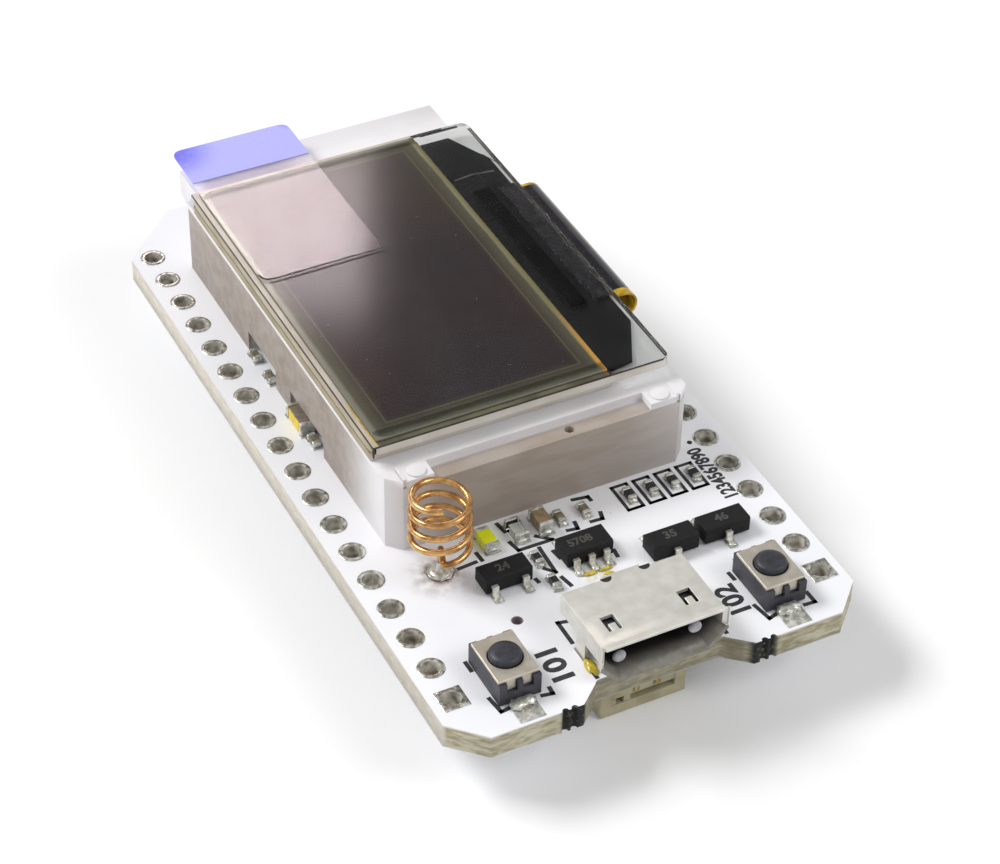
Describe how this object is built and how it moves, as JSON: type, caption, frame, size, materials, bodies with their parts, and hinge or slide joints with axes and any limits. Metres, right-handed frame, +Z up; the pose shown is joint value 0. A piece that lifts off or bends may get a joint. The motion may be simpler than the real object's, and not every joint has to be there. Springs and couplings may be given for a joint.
{
  "type": "radio development board",
  "caption": "Long range radio board with display on a frosted bracket, coil antenna, micro USB socket, push switches, header holes and a battery socket underneath.",
  "frame": {"origin": "under the middle of the board, on the surface that the battery socket stands on", "axes": "+X across the board, +Y along the board from the USB end to the display's far end, +Z up through the display"},
  "size_m": [0.0254, 0.051, 0.0115],
  "materials": {
    "board_white": "satin white solder mask over glass fibre board",
    "tinned_metal": "tin plated copper",
    "frosted_plastic": "frosted translucent moulding",
    "clear_glass": "thin panel glass",
    "dark_glass": "coated rear glass, dark",
    "polarizer_dark": "dark polarizing sheet with olive edge",
    "chip_black": "moulded black resin",
    "tape_black": "black light shield tape",
    "ribbon_black": "black coated polyimide with amber edge",
    "clear_film": "clear protective film",
    "blue_film": "clear blue film",
    "copper": "lacquered copper wire",
    "shell_steel": "plated pressed steel",
    "black_plastic": "moulded black plastic",
    "gold_contact": "gold plated contact",
    "cream_plastic": "moulded cream plastic",
    "cap_black": "moulded black cap",
    "ceramic_tan": "fired tan ceramic",
    "ceramic_grey": "fired grey ceramic",
    "ceramic_black": "black glazed ceramic",
    "lamp_yellow": "clear resin over yellow-green phosphor",
    "lamp_clear": "clear resin",
    "dome_steel": "spring steel"
  },
  "bodies": {
    "board_assembly": {"circuit_board": "board_white", "left_header_rings": "tinned_metal", "right_header_rings": "tinned_metal", "solder_pads": "tinned_metal", "display_bracket": "frosted_plastic", "rear_glass": "dark_glass", "front_glass": "clear_glass", "polarizer": "polarizer_dark", "driver_chip": "chip_black", "light_shield_tape": "tape_black", "flex_ribbon": "ribbon_black", "protective_film": "clear_film", "pull_tab_strip": "clear_film", "pull_tab_grip": "blue_film", "coil_antenna": "copper", "usb_shell": "shell_steel", "usb_tongue": "black_plastic", "usb_contacts": "gold_contact", "transistor_bodies": "chip_black", "transistor_legs": "tinned_metal", "charger_chip": "chip_black", "charger_chip_legs": "tinned_metal", "voltage_regulator": "chip_black", "voltage_regulator_legs": "tinned_metal", "chip_resistors": "ceramic_black", "chip_capacitors": "ceramic_grey", "large_capacitor": "ceramic_tan", "edge_inductor": "ceramic_grey", "chip_part_ends": "tinned_metal", "yellow_status_lamp": "lamp_yellow", "clear_status_lamp": "lamp_clear", "main_chip": "chip_black", "usb_serial_chip": "chip_black", "memory_chip": "chip_black", "memory_chip_legs": "tinned_metal", "main_crystal": "shell_steel", "radio_chip": "chip_black", "radio_crystal": "shell_steel", "shield_can": "shell_steel", "antenna_socket_base": "cream_plastic", "antenna_socket_ring": "gold_contact", "antenna_socket_pin": "gold_contact", "battery_socket_housing": "cream_plastic", "battery_socket_pins": "tinned_metal", "battery_socket_tabs": "tinned_metal", "left_switch_base": "black_plastic", "left_switch_cover": "shell_steel", "left_switch_terminals": "tinned_metal", "left_switch_dome": "dome_steel", "right_switch_base": "black_plastic", "right_switch_cover": "shell_steel", "right_switch_terminals": "tinned_metal", "right_switch_dome": "dome_steel"},
    "left_button": {"left_switch_cap": "cap_black"},
    "right_button": {"right_switch_cap": "cap_black"}
  },
  "joints": [
    {"name": "left_button_press", "type": "slide", "parent": "board_assembly", "child": "left_button", "axis": [0, 0, -1], "range_m": [0, 0.00025], "stiffness_N_per_m": 4000, "deforming": ["left_switch_dome"]},
    {"name": "right_button_press", "type": "slide", "parent": "board_assembly", "child": "right_button", "axis": [0, 0, -1], "range_m": [0, 0.00025], "stiffness_N_per_m": 4000, "deforming": ["right_switch_dome"]}
  ]
}
